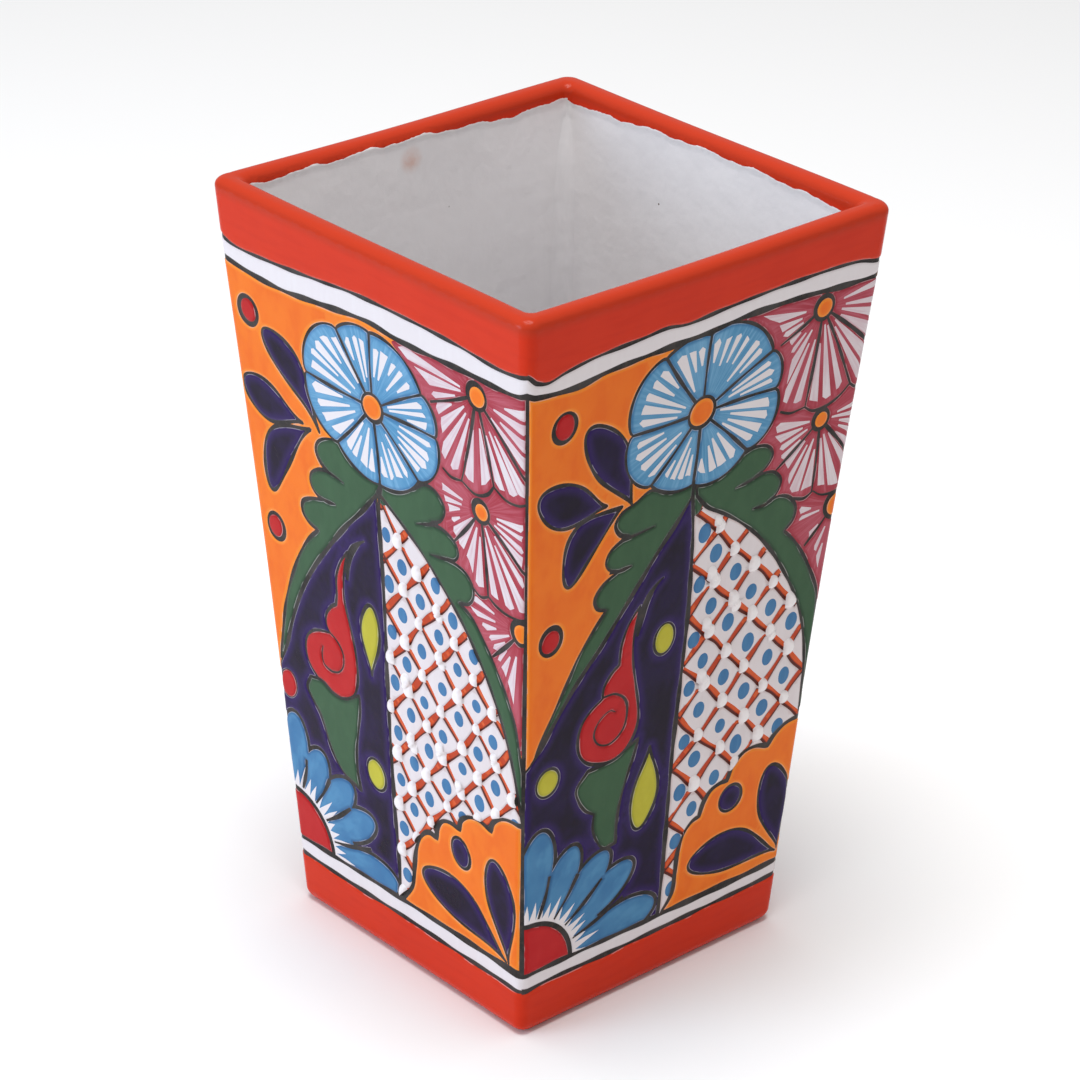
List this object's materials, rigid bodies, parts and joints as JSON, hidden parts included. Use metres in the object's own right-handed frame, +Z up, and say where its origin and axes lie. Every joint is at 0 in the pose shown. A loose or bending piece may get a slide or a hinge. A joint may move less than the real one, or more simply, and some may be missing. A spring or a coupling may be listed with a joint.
{
  "type": "square tapered pottery vase",
  "caption": "Tall square tapered ceramic vase with rounded lip and foot, open at the top, painted and glazed inside and out.",
  "frame": {"origin": "centre of the flat underside, on the surface the vase stands on", "axes": "+Z up along the vase's axis, -Y towards the front wall, +X towards the right wall"},
  "size_m": [0.161, 0.161, 0.28],
  "materials": {
    "painted_glaze": "hand-painted tin glaze, glossy, orange-red lip and foot bands over a polychrome field",
    "white_glaze": "glossy off-white tin glaze with pinholes",
    "fired_clay": "bare fired terracotta, matt"
  },
  "bodies": {
    "root": {"wall_front": "painted_glaze", "wall_right": "painted_glaze", "wall_back": "painted_glaze", "wall_left": "painted_glaze", "floor_slab": "fired_clay", "corner_coil_front_left": "white_glaze", "corner_coil_front_right": "white_glaze", "corner_coil_back_right": "white_glaze", "corner_coil_back_left": "white_glaze", "floor_coil_front": "white_glaze", "floor_coil_right": "white_glaze", "floor_coil_back": "white_glaze", "floor_coil_left": "white_glaze"}
  },
  "joints": []
}
